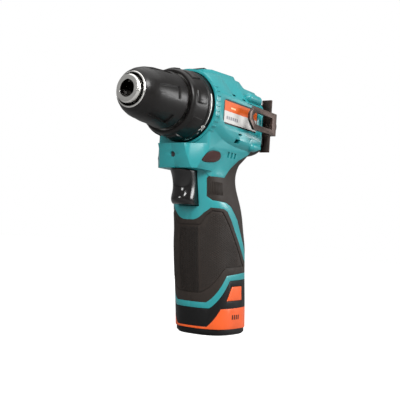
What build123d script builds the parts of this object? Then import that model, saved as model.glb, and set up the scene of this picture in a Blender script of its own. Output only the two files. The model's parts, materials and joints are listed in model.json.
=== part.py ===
from build123d import *
import math
import os

# Cordless drill, millimetres. Nose towards -X, left side -Y, up +Z.
# The origin is the centre of the flat underside of the battery foot.

# ---- driving dimensions -------------------------------------------------------------------------
AXIS_Z = 151.5          # height of the spindle axis above the base
WALL = 2.2              # wall of the moulded housing
SKIN = 1.2              # thickness of the soft over-moulding
PART_GAP = 0.3          # gap between pieces that part from each other
RUN = 0.05              # radial clearance of a running fit

NOSE_X = -110.0         # front face of the chuck's steel nose
SLEEVE_REAR_X = -71.2
RING_FRONT_X = -70.0    # torque ring
RING_REAR_X = -50.4
COLLAR_X = -50.0        # front face of the housing
CAP_X = 12.0            # joint between the housing and the rear cap
CAP_REAR_X = 17.5
COLLAR_R = 25.5
TORQUE_R = 23.4

CHUCK_BORE_R = 5.2
CHUCK_BORE_END_X = -89.4
NOSE_R = 8.8
CHUCK_R = 12.2
SLEEVE_R = 17.6
SLEEVE_WALL = 2.8
NOTCH_DEPTH = 1.0
SPINDLE_R = 5.5

JAW_R = 3.0
JAW_TILT = 15.5
JAW_LENGTH = 19.0
JAW_TRAVEL = 17.2
JAW_TIP_X = -96.0       # jaw tips with the chuck open
JAW_OPEN_R = 5.05       # radius of the gripping lands with the chuck open
JAW_LAND = 0.7          # half width of a gripping land

GEAR_MODULE = 0.8
SUN_TEETH = 12
PLANET_TEETH = 12
RING_TEETH = 36
BACKLASH = 0.2
PLANET_ANGLES = (90, 210, 330)
PIN_R = 1.5

GEARBOX_R = 21.8
GEARBOX_WALL = 2.8
NECK_R = 12.5
MOTOR_R = 18.0
MOTOR_FRONT_X = -19.0
MOTOR_REAR_X = 4.0
SHAFT_R = 2.0

FOOT_HEIGHT = 4.5
RAKE = 0.15             # forward lean of the handle, run over rise
CELL_R = 9.1
CELL_LENGTH = 65.0
CELL_FLOOR = 8.0
STICK_TOP = 82.0
STICK_HALF_X = 19.6
STICK_HALF_Y = 17.8
BUTTON_TRAVEL = 1.5
TRIGGER_TRAVEL = 6.0
TRIGGER_HALF = 8.0

BIG = 300.0

# Handle sections at equal steps of height: front x, rear x, half width.
HANDLE_STEP = 12.7
HANDLE = [
    (-24.9, 25.4, 21.2),
    (-26.8, 24.2, 21.2),
    (-28.8, 22.8, 21.2),
    (-31.3, 21.5, 21.0),
    (-33.6, 20.1, 21.0),
    (-35.1, 18.0, 21.0),
    (-36.4, 14.2, 20.6),
    (-38.6, 9.3, 20.2),
    (-41.7, 4.6, 18.0),
    (-43.8, 4.4, 18.2),
    (-46.0, 12.0, 20.0),
]
HANDLE_POWER = 2.7

# Head sections at equal steps of x: half width, height above the axis, depth below it, squareness.
HEAD = [
    (COLLAR_R, COLLAR_R, COLLAR_R, 2.0),
    (26.0, 25.8, 25.9, 2.6),
    (26.4, 26.0, 26.2, 3.3),
    (26.5, 26.0, 26.3, 3.8),
    (26.5, 25.6, 26.3, 4.0),
    (26.3, 25.2, 26.0, 4.0),
]
HEAD_HALF = 25.0        # flat sides of the head
# Flats that cut the head's corners: (y, z from the axis) on the left half, bottom to top.
HEAD_FLATS = [(22.0, -27.0), (HEAD_HALF, -16.0), (HEAD_HALF, 8.6), (13.0, 26.4), (13.0, 40.0)]
# The ridge along the top of the head: side outline (x, z from the axis) and half widths.
RIDGE_END_X = -7.0
RIDGE = [(-48.0, 18.0), (-48.0, 25.0), (-36.0, 27.4), (RIDGE_END_X, 29.0), (RIDGE_END_X + 3.2, 21.4),
         (RIDGE_END_X + 5.6, 18.0)]
REAR_TOP = 20.8         # height of the head's flat top above the axis, behind the ridge
RIDGE_TOP_HALF = 8.4
RIDGE_FOOT_HALF = 12.4

# Side outlines, as (x, z) points, each cut straight through along Y.
BATTERY_LINE = [(-60, 17.0), (-24.5, 18.7), (-11.8, 37.6), (60, 41.0)]
GRIP_TOP = [(-60, 76.5), (-36.5, 77.6), (-35.4, 82.6), (-33.2, 86.2), (-24.0, 86.0), (-20.0, 84.4),
            (-13.6, 77.4), (0.5, 58.8), (6.0, 52.6), (12.0, 49.6), (60, 48.0)]
GRIP_FOOT = [(60, 46.0), (2.5, 42.7), (-15.5, 41.0), (-26.2, 22.6), (-60, 20.2)]
SPINE_LINE = [(60, 51.4), (14.0, 53.2), (8.0, 57.6), (1.9, 66.0), (-6.9, 79.5), (-16.5, 88.2),
              (-22.4, 90.3), (-33.0, 91.0), (-36.2, 93.4), (-37.6, 105.4), (-36.6, 106.8),
              (-22.5, 107.2), (-16.0, 114.6), (-8.0, 120.8), (0.0, 125.0), (8.0, 130.5), (60, 131.0)]
GRIP_GROOVE = [(-60, 73.4), (-35.4, 74.6), (-34.4, 81.0), (-32.2, 84.4), (-24.6, 84.0), (-16.4, 75.4),
               (-2.0, 56.6), (2.8, 50.4), (5.5, 48.6), (5.5, 47.4), (-17.2, 45.8), (-19.8, 43.6),
               (-28.4, 28.6), (-60, 25.4)]


# ---- helpers ------------------------------------------------------------------------------------
def box(x0, x1, y0, y1, z0, z1):
    """A box between two corners."""
    size = Box(x1 - x0, y1 - y0, z1 - z0)
    return Pos((x0 + x1) / 2, (y0 + y1) / 2, (z0 + z1) / 2) * size


def tube(x0, x1, outer, inner=0.0, y=0.0, z=AXIS_Z):
    """A round bar or tube along X."""
    place = Pos((x0 + x1) / 2, y, z) * Rot(0, 90, 0)
    shape = Cylinder(outer, x1 - x0)
    if inner > 0:
        shape -= Cylinder(inner, x1 - x0 + 1)
    return place * shape


def turned(profile):
    """A piece turned about the spindle axis from (x, radius) points."""
    face = make_face(Polyline(*profile, close=True))
    return Pos(0, 0, AXIS_Z) * revolve(face, Axis.X)


def side_prism(points, y0=-BIG, y1=BIG):
    """A prism along Y with an (x, z) outline."""
    face = make_face(Polyline(*[(x, y0, z) for x, z in points], close=True))
    return extrude(face, amount=y1 - y0, dir=(0, 1, 0))


def plan_prism(points, z0, z1):
    """A prism along Z with an (x, y) outline."""
    face = make_face(Polyline(*[(x, y, z0) for x, y in points], close=True))
    return extrude(face, amount=z1 - z0, dir=(0, 0, 1))


def front_prism(points, x0, x1):
    """A prism along X with a (y, z) outline measured from the spindle axis."""
    face = make_face(Polyline(*[(x0, y, AXIS_Z + z) for y, z in points], close=True))
    return extrude(face, amount=x1 - x0, dir=(1, 0, 0))


def left(shape):
    return shape & box(-BIG, BIG, -BIG, 0, -BIG, BIG)


def right(shape):
    return shape & box(-BIG, BIG, 0, BIG, -BIG, BIG)


def around(shape, angles):
    """Copies of a shape turned about the spindle axis."""
    turns = [Pos(0, 0, AXIS_Z) * Rot(angle, 0, 0) * Pos(0, 0, -AXIS_Z) for angle in angles]
    copies = turns[0] * shape
    for turn in turns[1:]:
        copies += turn * shape
    return copies


def mirrored(shape):
    return mirror(shape, Plane.XZ)


def squarish(angle, half_x, half_y, power):
    """The radius at an angle of a rounded-square curve."""
    across = abs(math.cos(angle) / half_x) ** power
    along = abs(math.sin(angle) / half_y) ** power
    return (across + along) ** (-1 / power)


def closed_curve(points):
    return make_face(Spline(*points, periodic=True))


SECTION_POINTS = 16


def handle(inset):
    """The raked handle, lofted through its sections."""
    faces = []
    for level, (front, rear, half) in enumerate(HANDLE):
        middle = (front + rear) / 2
        points = []
        for step in range(SECTION_POINTS):
            angle = 2 * math.pi * step / SECTION_POINTS
            radius = squarish(angle, (rear - front) / 2 - inset, half - inset, HANDLE_POWER)
            points.append((middle + radius * math.cos(angle), radius * math.sin(angle), level * HANDLE_STEP))
        faces.append(closed_curve(points))
    return loft(faces)


def both_sides(points):
    """An outline completed with its mirror image across the middle plane."""
    return points + [(-y, z) for y, z in reversed(points)]


def head(inset):
    """The motor and gearbox housing, round at the collar and squarer at the back."""
    faces = []
    for station, (half, above, below, power) in enumerate(HEAD):
        x = COLLAR_X + (CAP_X - COLLAR_X) * station / (len(HEAD) - 1)
        points = []
        for step in range(SECTION_POINTS):
            angle = 2 * math.pi * step / SECTION_POINTS
            height = above if math.sin(angle) > 0 else below
            radius = squarish(angle, half - inset, height - inset, power)
            points.append((x, radius * math.cos(angle), AXIS_Z + radius * math.sin(angle)))
        faces.append(closed_curve(points))
    flats = [(y - inset, z - 0.4 * inset) for y, z in HEAD_FLATS]
    shape = loft(faces) & front_prism(both_sides(flats), COLLAR_X - 1, CAP_X + 1)
    ridge_side = [(x, AXIS_Z + z - inset) for x, z in RIDGE]
    ridge = side_prism(ridge_side) & front_prism(both_sides([
        (RIDGE_FOOT_HALF - inset, 16.0), (RIDGE_FOOT_HALF - inset, 23.0), (RIDGE_TOP_HALF - inset, 32.0)]),
        COLLAR_X, BIG)
    step = [(RIDGE_END_X, 40.0), (RIDGE_END_X, 29.0), (RIDGE_END_X + 3.2, REAR_TOP + 0.6),
            (RIDGE_END_X + 4.6, REAR_TOP), (BIG, REAR_TOP), (BIG, 40.0)]
    return shape + ridge - side_prism([(x - inset, AXIS_Z + z - inset) for x, z in step])


CHIN_TOP_Z = 125.6
CHIN_FRONT_X = -62.4
CHIN_FOOT_X = -56.0
CHIN_FOOT_Z = 110.3
NECK_HALF = 21.0
NECK_FOOT_HALF = 14.8   # half width of the neck where it meets the handle


def both_plan_sides(points):
    """A plan outline completed with its mirror image across the middle plane."""
    return points + [(x, -y) for x, y in reversed(points)]


def neck(inset):
    """The block that joins the head to the handle, with the chin under the chuck."""
    foot = CHIN_FOOT_Z + inset
    side = [(CHIN_FRONT_X + inset, CHIN_TOP_Z - inset), (CHIN_FOOT_X + inset, foot), (-8.6 - inset, foot),
            (-5.0 - inset, 118.0), (4.0 - inset, 128.0), (4.0 - inset, 138.0), (COLLAR_X + 1 + inset, 138.0),
            (COLLAR_X + 1 + inset, CHIN_TOP_Z + 1.2 - inset)]
    half = NECK_HALF - inset
    front = 10.4 - inset
    chin = both_plan_sides([(-66, front), (-60.0, front), (-57.0, front + 1.6), (-51.6, half - 3.4),
                            (-48.0, half - 0.7), (-44.0, half), (10, half)])
    skirt = both_plan_sides([(-44.0 + inset, 9.0 - inset), (-40.0 + inset, 12.4 - inset), (-34.0, 16.4 - inset),
                             (-26.0, 19.6 - inset), (-16.0, half), (10, half)])
    under = [(-40.0, foot + 1), (-40.0, foot), (-30.0, 100.0), (-14.0, 100.0), (-8.6 - inset, foot),
             (-8.6 - inset, foot + 1)]
    block = side_prism(side) & plan_prism(chin, 90, 150)
    block += side_prism(under) & plan_prism(skirt, 90, 150)
    taper = both_sides([(NECK_FOOT_HALF - inset, 90 - AXIS_Z), (NECK_FOOT_HALF - inset, 108 - AXIS_Z),
                        (half, CHIN_TOP_Z - AXIS_Z), (half, 0)])
    return block & front_prism(taper, -70, 20)


def body(inset):
    """The whole outer form of the drill's housing, battery included."""
    return head(inset) + neck(inset) + handle(inset)


# ---- outer forms --------------------------------------------------------------------------------
outer = body(0.0)
under_skin = body(SKIN)
inside = body(WALL)
outer_handle = handle(0.0)
inner_handle = handle(WALL)

below_line = side_prism(BATTERY_LINE + [(60, -20), (-60, -20)])
below_gap = Pos(0, 0, -PART_GAP) * below_line
grip_zone = side_prism(GRIP_TOP + GRIP_FOOT)
spine_zone = side_prism(SPINE_LINE)

parts = {}

# ---- trigger and selectors, with the openings that they need --------------------------------------
# Trigger sections: height and front x.
TRIGGER_FRONT = [(87.0, -49.4), (88.6, -52.0), (91.0, -52.9), (94.4, -51.8), (98.4, -51.2), (102.6, -52.3),
                 (106.4, -54.8), (109.4, -57.6)]
TRIGGER_REAR_X = -33.0
TRIGGER_POWER = 3.4


def trigger_form():
    """The curved finger trigger, lofted upwards."""
    faces = []
    for z, front in TRIGGER_FRONT:
        points = []
        for step in range(SECTION_POINTS):
            angle = 2 * math.pi * step / SECTION_POINTS
            radius = squarish(angle, TRIGGER_REAR_X - front, TRIGGER_HALF, TRIGGER_POWER)
            points.append((TRIGGER_REAR_X + radius * math.cos(angle), radius * math.sin(angle), z))
        faces.append(closed_curve(points))
    return loft(faces) & box(-BIG, TRIGGER_REAR_X, -BIG, BIG, 0, BIG)


trigger = trigger_form()
trigger_opening = box(-60, -31.6, -TRIGGER_HALF - PART_GAP, TRIGGER_HALF + PART_GAP, 86.5, 109.9)

SELECTOR_OUTLINE = [(-51.2, 116.6), (-49.0, 119.8), (-45.4, 122.2), (-39.0, 123.0), (-33.4, 122.2),
                    (-31.6, 119.6), (-34.4, 117.0), (-40.0, 115.8), (-47.0, 115.2)]
SELECTOR_MIDDLE = (-41.5, 119.0)
SELECTOR_PROUD = 0.4


def selector_outline(grow):
    """The selector's rounded outline, made larger or smaller about its middle."""
    middle_x, middle_z = SELECTOR_MIDDLE
    points = []
    for x, z in SELECTOR_OUTLINE:
        reach = math.hypot(x - middle_x, z - middle_z)
        scale = 1 + grow / reach
        points.append((middle_x + (x - middle_x) * scale, middle_z + (z - middle_z) * scale))
    return points


def selector_prism(grow, half):
    points = [(x, -half, z) for x, z in selector_outline(grow)]
    return extrude(closed_curve(points), amount=2 * half, dir=(0, 1, 0))


selector = selector_prism(0.0, NECK_HALF + 2) & neck(-SELECTOR_PROUD)
selector_hole = selector_prism(PART_GAP, NECK_HALF + 10)
parts["direction_selector"] = selector - box(-48, -36, -4.2, 4.2, 110, 117.4)

SPEED_X0, SPEED_X1 = -37.5, -25.5
SPEED_HALF = 5.0
SPEED_TRAVEL = 8.0
SPEED_Z = AXIS_Z + 26.6
speed_slot = box(SPEED_X0 - 1, SPEED_X1 + SPEED_TRAVEL + 1, -SPEED_HALF - 1, SPEED_HALF + 1, SPEED_Z, BIG)
speed_stem_slot = box(SPEED_X0 + 3, SPEED_X1 + SPEED_TRAVEL - 3, -2.3, 2.3, AXIS_Z + 20, BIG)
speed = box(SPEED_X0, SPEED_X1, -SPEED_HALF, SPEED_HALF, SPEED_Z + PART_GAP, SPEED_Z + 2.2)
for step in range(4):
    groove_x = SPEED_X0 + 3.6 + 1.6 * step
    speed -= box(groove_x, groove_x + 0.7, -BIG, BIG, SPEED_Z + 1.6, BIG)
speed += box(SPEED_X0 + 3.4, SPEED_X1 - 3.4, -2.0, 2.0, GEARBOX_R + AXIS_Z + 0.4, SPEED_Z + 1)
parts["speed_selector"] = speed

# ---- work light ---------------------------------------------------------------------------------
LIGHT_Z = 118.8
LIGHT_X = -59.6
LIGHT_R = 1.7
light_hole = tube(LIGHT_X - 4, LIGHT_X + 4, LIGHT_R + 0.1, z=LIGHT_Z)
lens = tube(LIGHT_X + 0.6, LIGHT_X + 5, LIGHT_R, z=LIGHT_Z) + tube(LIGHT_X + 4.2, LIGHT_X + 5.4, 3.2, z=LIGHT_Z)
parts["work_light"] = lens + box(LIGHT_X + 5.4, LIGHT_X + 6.8, -6, 6, LIGHT_Z - 5, LIGHT_Z + 4)
light_ribs = box(LIGHT_X + 4.6, LIGHT_X + 7.6, 6.2, 8.4, 112, 124) & inside
light_ribs += mirrored(light_ribs)

# ---- label plates on both sides -------------------------------------------------------------------
LABEL_DEPTH = 0.9
LABEL = [(-39.5, 144.0), (-37.2, 141.6), (3.4, 141.6), (5.6, 144.0), (5.6, 155.8), (3.4, 158.2),
         (-37.6, 158.2), (-39.5, 156.2)]
PANEL = [(-45.6, 162.4), (-44.2, 151.0), (-45.0, 139.6), (-41.0, 134.6), (-19.0, 133.6), (-5.0, 133.6),
         (-2.0, 137.0), (11, 137.0), (11, 160.4), (-9.0, 160.4), (-12.0, 165.6), (-30.0, 165.6), (-40.0, 163.6)]
PANEL_Y = 24.3
LABEL_Y = 23.7
panel_cut = side_prism(PANEL, -BIG, -PANEL_Y)
label_left = side_prism(LABEL, -PANEL_Y, -LABEL_Y)
label_bed = side_prism(LABEL, -BIG, -LABEL_Y)
parts["label_plates"] = [label_left, mirrored(label_left)]

# ---- housing halves -------------------------------------------------------------------------------
collar_bore = tube(COLLAR_X - 5, COLLAR_X + 4, TORQUE_R + 0.6)
gearbox_rib = (inside & box(-44, -41.6, -BIG, BIG, 120, BIG)) - tube(-50, -40, GEARBOX_R + 0.2)
motor_ribs = inside & (box(-16, -14, -BIG, BIG, 122, BIG) + box(-2, 0, -BIG, BIG, 122, BIG))
motor_ribs -= tube(-20, 6, MOTOR_R + 0.2)
motor_ribs -= box(-20, 6, -8, 8, AXIS_Z, BIG)
switch_ribs = inside & (box(-25, -23, -BIG, BIG, 90, 110) + box(-14, -12, -BIG, BIG, 90, 110))
switch_ribs -= box(-40, 10, -9.3, 9.3, 80, 120)

slots = box(-28.0, -23.8, -BIG, -19, 161.8, 163.2) + box(-15.6, -11.0, -BIG, -19, 161.0, 162.4)
slots += box(-18.8, -14.2, -BIG, -20, 136.6, 138.0) + box(-21.7, -16.1, -BIG, -18, 131.2, 133.8)
for step in range(3):
    vent_x = -24.4 + 4.2 * step
    slots += box(vent_x, vent_x + 2.0, -BIG, -14, 120.8, 124.6)
slots += mirrored(slots)

LOBE_R = 3.4
LOBE_OUT = 26.0         # how far the screw towers reach from the middle plane


def lobe(x0, x1, z):
    """A screw tower along X with rounded ends, standing out of the left side."""
    y = LOBE_R - LOBE_OUT
    bar = tube(x0, x1, LOBE_R, y=y, z=z)
    return bar + Pos(x0, y, z) * Sphere(LOBE_R) + Pos(x1, y, z) * Sphere(LOBE_R)


CAP_SCREWS = [(-17.5, 14.6), (17.5, 14.6), (-17.5, -16.5), (17.5, -16.5)]
SCREW_SHANK_R = 1.4

lobes = lobe(-6.0, 6.6, 165.0) + lobe(2.0, 9.0, 131.6)
lobes += mirrored(lobes)

housing = outer + lobes
housing -= inside
housing += gearbox_rib + motor_ribs + switch_ribs + light_ribs
housing -= below_line
housing -= collar_bore
housing -= tube(COLLAR_X, -40, GEARBOX_R + 0.2)
housing -= trigger_opening + selector_hole + light_hole + speed_slot + speed_stem_slot + slots
housing -= panel_cut + mirrored(panel_cut)
housing -= label_bed + mirrored(label_bed)
housing -= grip_zone - under_skin
housing -= spine_zone - under_skin
housing -= box(CAP_X, BIG, -BIG, BIG, 100, BIG)

for y, dz in CAP_SCREWS:
    housing -= tube(0, CAP_X + 1, SCREW_SHANK_R + PART_GAP, y=y, z=AXIS_Z + dz)

parts["housing_left"] = left(housing)
parts["housing_right"] = right(housing)

# ---- soft skins -------------------------------------------------------------------------------------
GROOVE_DEPTH = 0.6
skin_shell = outer - under_skin
groove_face = make_face(Polyline(*[(x, -BIG, z) for x, z in GRIP_GROOVE], close=True))
groove_inner = offset(groove_face, -0.9)
groove_ring = extrude(groove_face - groove_inner, amount=2 * BIG, dir=(0, 1, 0))
groove_cut = groove_ring - handle(GROOVE_DEPTH)
grip = (skin_shell & grip_zone) - groove_cut
spine = skin_shell & spine_zone & box(-BIG, CAP_X, -BIG, BIG, 40, 131)
spine -= trigger_opening + slots
parts["grip_left"] = left(grip)
parts["grip_right"] = right(grip)
parts["spine_left"] = left(spine)
parts["spine_right"] = right(spine)

# ---- rear cap, its screws and the belt hook ---------------------------------------------------------
CAP_INSET = 0.8


def head_end(inset, x0, x1):
    """A slab with the outline of the head's rear end."""
    half, above, below, power = HEAD[-1]
    points = []
    for step in range(SECTION_POINTS):
        angle = 2 * math.pi * step / SECTION_POINTS
        height = above if math.sin(angle) > 0 else below
        radius = squarish(angle, half - inset, height - inset, power)
        points.append((x0, radius * math.cos(angle), AXIS_Z + radius * math.sin(angle)))
    flats = [(y - inset, z - 0.4 * inset) for y, z in HEAD_FLATS]
    slab = extrude(closed_curve(points), amount=x1 - x0, dir=(1, 0, 0))
    slab = slab & front_prism(both_sides(flats), x0, x1)
    return slab & box(x0, x1, -BIG, BIG, 0, AXIS_Z + REAR_TOP - inset)


cap = head_end(CAP_INSET, CAP_X, CAP_REAR_X)
cap = chamfer(cap.faces().sort_by(Axis.X)[-1].edges(), 1.6)
cap = cap + head_end(WALL + 0.2, CAP_X - 2.4, CAP_X)
cap -= tube(0, CAP_REAR_X - 2.2, 20.5)
for step in range(5):
    vent_z = AXIS_Z - 12 + 6 * step
    cap -= box(CAP_REAR_X - 4, BIG, 2, 16, vent_z, vent_z + 2.4)
for y, dz in CAP_SCREWS:
    cap -= tube(0, BIG, 1.5, y=y, z=AXIS_Z + dz)
    cap -= tube(CAP_REAR_X - 1.6, BIG, 2.9, y=y, z=AXIS_Z + dz)
parts["rear_cap"] = cap


def pan_screw(head_x, tip_x, y, z, head_r=2.7, shank_r=SCREW_SHANK_R, head_depth=1.5):
    """A screw along X with its head at the back and a cross in it."""
    screw = tube(head_x - head_depth, head_x, head_r, y=y, z=z) + tube(tip_x, head_x - 1, shank_r, y=y, z=z)
    cross = box(head_x - 0.8, head_x + 1, y - 1.6, y + 1.6, z - 0.35, z + 0.35)
    cross += box(head_x - 0.8, head_x + 1, y - 0.35, y + 0.35, z - 1.6, z + 1.6)
    return screw - cross


rear_screws = [pan_screw(CAP_REAR_X - 0.1, 5.0, y, AXIS_Z + dz) for y, dz in CAP_SCREWS]

HOOK_X0, HOOK_X1 = CAP_REAR_X, CAP_REAR_X + 1.8
HOOK_Y = -32.2
HOOK_T = 1.8
hook_plate = box(HOOK_X0, HOOK_X1, -28.0, -20.6, 130.0, 167.8)
hook_plate += box(HOOK_X0, HOOK_X1, -28.0, 2.0, 138.0, 160.0)
LOOP = [(HOOK_X1, 141.6), (-12.0, 141.6), (-18.4, 147.6), (-18.4, 151.8), (-13.4, 157.4), (HOOK_X1, 157.4)]
WINDOW = [(13.5, 145.4), (-9.6, 145.4), (-13.8, 148.8), (-13.8, 150.8), (-10.8, 153.6), (13.5, 153.6)]
loop = side_prism(LOOP, HOOK_Y, HOOK_Y + HOOK_T) - side_prism(WINDOW, HOOK_Y - 1, HOOK_Y + 3)
bridge = box(HOOK_X0, HOOK_X1, HOOK_Y, -27, 141.6, 157.4)
hook = hook_plate + loop + bridge
HOOK_BOSS = (-23.8, 148.9)
HOOK_SCREW = (-3.0, 149.0)
hook += tube(HOOK_X1 - 0.1, HOOK_X1 + 3.0, 7.2, y=HOOK_BOSS[0], z=HOOK_BOSS[1])
hook -= tube(0, BIG, 2.2, y=HOOK_BOSS[0], z=HOOK_BOSS[1])
hook -= tube(HOOK_X0 - 1, BIG, 1.7, y=HOOK_SCREW[0], z=HOOK_SCREW[1])
parts["belt_hook"] = hook
knob = tube(HOOK_X1 + 3.0, HOOK_X1 + 9.6, 3.5, y=HOOK_BOSS[0], z=HOOK_BOSS[1])
knob += tube(HOOK_X0, HOOK_X1 + 3.1, 2.1, y=HOOK_BOSS[0], z=HOOK_BOSS[1])
parts["hook_stud"] = knob
rear_screws.append(pan_screw(HOOK_X1 + 1.5, CAP_REAR_X - 2.0, HOOK_SCREW[0], HOOK_SCREW[1]))
parts["rear_screws"] = rear_screws
parts["rear_cap"] -= tube(CAP_REAR_X - 3, BIG, 1.5, y=HOOK_SCREW[0], z=HOOK_SCREW[1])

# ---- chuck ------------------------------------------------------------------------------------------
slope = math.tan(math.radians(JAW_TILT))
JAW_TIP_R = 6.3         # radius of the jaw's own axis at the tip, chuck open


def jaw_bar(radius, ahead, behind):
    """A bar on the jaw's slanted axis, from ahead of the tip to behind it."""
    length = ahead + behind
    bar = Pos(0, 0, (behind - ahead) / 2) * Cylinder(radius, length)
    return Pos(JAW_TIP_X, 0, AXIS_Z + JAW_TIP_R) * Rot(0, 90 - JAW_TILT, 0) * bar


wedge_half = JAW_LAND + 15 * math.tan(math.radians(60))
wedge = front_prism([(-JAW_LAND, JAW_OPEN_R), (JAW_LAND, JAW_OPEN_R), (wedge_half, JAW_OPEN_R + 15),
                     (-wedge_half, JAW_OPEN_R + 15)], -130, -60)
jaw = jaw_bar(JAW_R, 0, JAW_LENGTH) & wedge
JAW_ANGLES = (0, 120, 240)
for number, angle in enumerate(JAW_ANGLES, 1):
    parts[f"jaw_{number}"] = around(jaw, [angle])

chuck_body = turned([(NOSE_X, CHUCK_BORE_R), (NOSE_X, NOSE_R - 0.8), (NOSE_X + 0.8, NOSE_R), (-103.2, NOSE_R),
                     (-102.4, CHUCK_R), (-80.0, CHUCK_R), (-80.0, 14.6), (-76.0, 14.6), (-76.0, 9.5),
                     (-67.6, 9.5), (-67.6, SPINDLE_R), (-82.0, SPINDLE_R), (-82.0, 2.2), (-86.0, 2.2),
                     (-86.0, 3.6), (CHUCK_BORE_END_X, 3.6), (CHUCK_BORE_END_X, CHUCK_BORE_R)])
chuck_body -= around(jaw_bar(JAW_R + RUN, JAW_TRAVEL + 2, JAW_LENGTH + 8), JAW_ANGLES)
parts["chuck_body"] = chuck_body
nut_r = SLEEVE_R - SLEEVE_WALL
parts["chuck_nut"] = tube(-93.0, -87.6, nut_r, CHUCK_R + RUN)
screw_profile = [(-89.0, 0), (-89.0, 3.2), (-86.0, 3.2), (-86.0, 2.1), (-72.0, 2.1), (-72.0, 0)]
chuck_screw = turned(screw_profile) - tube(-90, -87.4, 1.4)
parts["chuck_screw"] = chuck_screw

SLEEVE_OUTSIDE = [(-101.0, 14.7), (-97.0, 16.0), (-91.0, 17.0), (-84.0, SLEEVE_R - 0.1), (-78.0, SLEEVE_R + 0.4)]
sleeve = turned([(-106.2, 10.2), (-106.2, 11.2), (-104.2, 13.0)] + SLEEVE_OUTSIDE
                + [(-73.2, SLEEVE_R + 0.9), (-72.2, SLEEVE_R + 0.8), (SLEEVE_REAR_X, SLEEVE_R),
                   (SLEEVE_REAR_X, nut_r), (-93.0, nut_r), (-95.0, CHUCK_R + 1.4), (-103.4, CHUCK_R + 0.6),
                   (-104.4, 10.2)])
notch_floor = turned([(-101.0, 0)] + [(x, r - NOTCH_DEPTH) for x, r in SLEEVE_OUTSIDE] + [(-78.0, 0)])
notch = plan_prism([(-98.0, -2.2), (-98.0, 2.2), (-79.5, 4.2), (-79.5, -4.2)], AXIS_Z + 10, AXIS_Z + 30)
notch -= notch_floor
NOTCH_ANGLES = [83 + 60 * step for step in range(6)]
parts["chuck_sleeve"] = sleeve - around(notch, NOTCH_ANGLES)
parts["chuck_front_ring"] = turned([(-106.9, 10.3), (-106.9, 10.8), (-106.5, 11.2), (-106.2, 11.2),
                                    (-106.2, 10.3)])

# ---- torque ring and clutch ---------------------------------------------------------------------------
ring_inner = 19.0
ring = turned([(RING_FRONT_X, ring_inner), (RING_FRONT_X, 20.4), (-69.0, 21.3), (-63.0, 22.3), (-57.6, TORQUE_R - 0.3),
               (-56.4, TORQUE_R - 0.2), (-56.0, TORQUE_R - 0.9), (-55.2, TORQUE_R - 0.9), (-54.8, TORQUE_R - 0.1),
               (RING_REAR_X, TORQUE_R), (RING_REAR_X, 20.6), (-54.0, 20.6), (-54.0, ring_inner)])
pad = front_prism([(-4.0, 18), (4.0, 18), (4.0, 30), (-4.0, 30)], -66.6, -58.6)
pad &= turned([(-66.6, 20), (-66.6, 22.0), (-65.8, 22.7), (-59.4, 23.7), (-58.6, 23.0), (-58.6, 20)])
PAD_ANGLES = [83 + 45 * step for step in range(8)]
parts["torque_ring"] = ring + around(pad, PAD_ANGLES)
parts["clutch_nut"] = tube(-66.0, -62.6, ring_inner, NECK_R + RUN)
spring_wire = 1.0
spring_turns = 3.5
spring_length = 8.0
spring_path = Helix(pitch=spring_length / spring_turns, height=spring_length, radius=15.6)
spring_plane = Plane(origin=spring_path @ 0, z_dir=spring_path % 0)
spring = sweep(spring_plane * Circle(spring_wire), path=spring_path)
parts["clutch_spring"] = Pos(-61.5, 0, AXIS_Z) * Rot(0, 90, 0) * spring
parts["clutch_washer"] = tube(-52.3, -51.1, 18.4, NECK_R + 0.3)
clutch_pin = tube(-51.1, -45.9, 1.5, z=AXIS_Z + 16.2)
CLUTCH_ANGLES = [60 * step for step in range(6)]
parts["clutch_pins"] = around(clutch_pin, CLUTCH_ANGLES)

# ---- gearbox --------------------------------------------------------------------------------------------
PRESSURE = math.radians(25)
ADDENDUM = 0.55
DEDENDUM = 0.75
FLANK_STEPS = 4


def gear_points(teeth, addendum, dedendum, extra, first_angle):
    """The outline of a spur gear as (y, z) points; extra widens each tooth."""
    pitch_r = GEAR_MODULE * teeth / 2
    base_r = pitch_r * math.cos(PRESSURE)
    tip_r = pitch_r + addendum
    root_r = pitch_r - dedendum
    start_r = max(base_r, root_r)
    even = math.tan(PRESSURE) - PRESSURE
    half_at_pitch = math.pi / (2 * teeth) + extra / (2 * pitch_r)
    flank = []
    for step in range(FLANK_STEPS + 1):
        radius = start_r + (tip_r - start_r) * step / FLANK_STEPS
        roll = math.acos(min(1.0, base_r / radius))
        flank.append((radius, half_at_pitch + even - (math.tan(roll) - roll)))
    if root_r < start_r:
        flank.insert(0, (root_r, flank[0][1]))
    points = []
    for tooth in range(teeth):
        centre = math.radians(first_angle) + 2 * math.pi * tooth / teeth
        for radius, half in flank:
            points.append((radius * math.cos(centre - half), radius * math.sin(centre - half)))
        for radius, half in reversed(flank):
            points.append((radius * math.cos(centre + half), radius * math.sin(centre + half)))
    return points


CENTRES = GEAR_MODULE * (SUN_TEETH + PLANET_TEETH) / 2
STAGES = {1: (-31.0, -23.4), 2: (-42.0, -34.4)}


def sun_gear(x0, x1):
    return front_prism(gear_points(SUN_TEETH, ADDENDUM, DEDENDUM, -BACKLASH / 2, 0), x0, x1)


def planet_gear(x0, x1, angle):
    gear = front_prism(gear_points(PLANET_TEETH, ADDENDUM, DEDENDUM, -BACKLASH / 2, 15), x0, x1)
    gear -= tube(x0 - 1, x1 + 1, PIN_R + RUN)
    turn = math.radians(angle)
    return Pos(0, CENTRES * math.cos(turn), CENTRES * math.sin(turn)) * gear


def ring_gear(x0, x1):
    cutter = front_prism(gear_points(RING_TEETH, DEDENDUM, ADDENDUM, BACKLASH / 2, 5), x0 - 1, x1 + 1)
    return tube(x0, x1, GEARBOX_R - GEARBOX_WALL - 0.02) - cutter


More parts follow.
